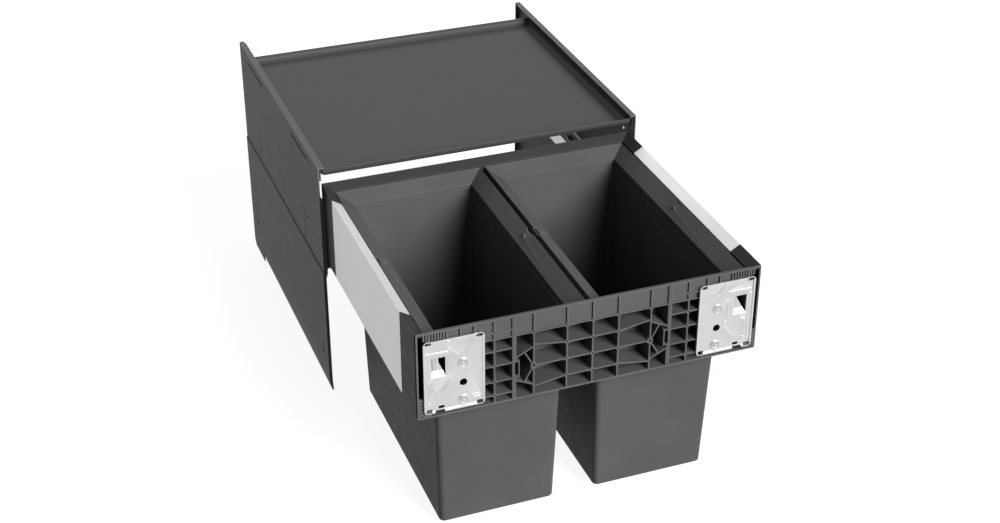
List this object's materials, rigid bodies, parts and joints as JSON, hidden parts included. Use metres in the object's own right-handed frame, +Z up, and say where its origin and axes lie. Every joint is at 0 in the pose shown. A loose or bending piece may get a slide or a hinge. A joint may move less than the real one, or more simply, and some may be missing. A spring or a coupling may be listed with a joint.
{
  "type": "pull-out waste sorter",
  "caption": "Under-counter waste sorter: steel side panels carry a cover tray and a pull-out frame on runners that holds lift-out bins with hinged handles.",
  "frame": {"origin": "on the floor, at the middle of the whole unit's footprint with the drawer pulled out", "axes": "+X to the right seen from the front, +Y to the back of the cabinet, +Z up; the drawer opens towards -Y"},
  "size_m": [0.462, 0.839, 0.3535],
  "materials": {
    "panel_paint": "fine matt powder coat",
    "tray_paint": "satin powder coat",
    "zinc": "zinc plated",
    "steel": "bright steel",
    "silver_paint": "silver lacquer",
    "dark_plastic": "fine-grained moulded plastic",
    "bin_plastic": "fine-grained moulded plastic",
    "cage_plastic": "natural plastic"
  },
  "bodies": {
    "carcass": {"left_side_panel": "panel_paint", "left_tray_clip": "dark_plastic", "left_cabinet_rail": "zinc", "right_side_panel": "panel_paint", "right_tray_clip": "dark_plastic", "right_cabinet_rail": "zinc", "cover_tray": "tray_paint", "cabinet_rail_rivets": "panel_paint"},
    "lower_cages": {"left_lower_roller_cage": "cage_plastic", "left_lower_rollers": "steel", "right_lower_roller_cage": "cage_plastic", "right_lower_rollers": "steel"},
    "middle_rails": {"left_middle_rail": "zinc", "right_middle_rail": "zinc"},
    "upper_cages": {"left_upper_roller_cage": "cage_plastic", "left_upper_rollers": "steel", "right_upper_roller_cage": "cage_plastic", "right_upper_rollers": "steel"},
    "drawer": {"left_drawer_rail": "zinc", "left_drawer_side": "silver_paint", "left_front_corner": "dark_plastic", "left_rear_corner": "dark_plastic", "left_front_plate": "zinc", "right_drawer_rail": "zinc", "right_drawer_side": "silver_paint", "right_front_corner": "dark_plastic", "right_rear_corner": "dark_plastic", "right_front_plate": "zinc", "rear_frame": "dark_plastic", "front_bracket": "dark_plastic", "front_plate_rivets": "steel", "drawer_rail_screws": "steel", "drawer_frame_screws": "steel"},
    "left_bin_body": {"left_bin": "bin_plastic"},
    "left_handle_body": {"left_bin_handle": "bin_plastic", "left_handle_pins": "steel"},
    "right_bin_body": {"right_bin": "bin_plastic"},
    "right_handle_body": {"right_bin_handle": "bin_plastic", "right_handle_pins": "steel"}
  },
  "joints": [
    {"name": "drawer_slide", "type": "slide", "parent": "carcass", "child": "drawer", "axis": [0, 1, 0], "range_m": [0, 0.386]},
    {"name": "middle_rail_slide", "type": "slide", "parent": "carcass", "child": "middle_rails", "axis": [0, 1, 0], "range_m": [0, 0.193]},
    {"name": "lower_cage_slide", "type": "slide", "parent": "carcass", "child": "lower_cages", "axis": [0, 1, 0], "range_m": [0, 0.0965]},
    {"name": "upper_cage_slide", "type": "slide", "parent": "carcass", "child": "upper_cages", "axis": [0, 1, 0], "range_m": [0, 0.2895]},
    {"name": "left_bin_lift", "type": "slide", "parent": "drawer", "child": "left_bin_body", "axis": [0, 0, 1], "range_m": [0, 0.33]},
    {"name": "left_handle_hinge", "type": "hinge", "parent": "left_bin_body", "child": "left_handle_body", "pos_m": [-0.1048, -0.2205, 0.307], "axis": [-1, 0, 0], "range_deg": [0, 90]},
    {"name": "right_bin_lift", "type": "slide", "parent": "drawer", "child": "right_bin_body", "axis": [0, 0, 1], "range_m": [0, 0.33]},
    {"name": "right_handle_hinge", "type": "hinge", "parent": "right_bin_body", "child": "right_handle_body", "pos_m": [0.1048, -0.2205, 0.307], "axis": [-1, 0, 0], "range_deg": [0, 90]}
  ],
  "couplings": [
    {"joint": "middle_rail_slide", "follows": "drawer_slide", "ratio": 0.5},
    {"joint": "lower_cage_slide", "follows": "drawer_slide", "ratio": 0.25},
    {"joint": "upper_cage_slide", "follows": "drawer_slide", "ratio": 0.75}
  ]
}
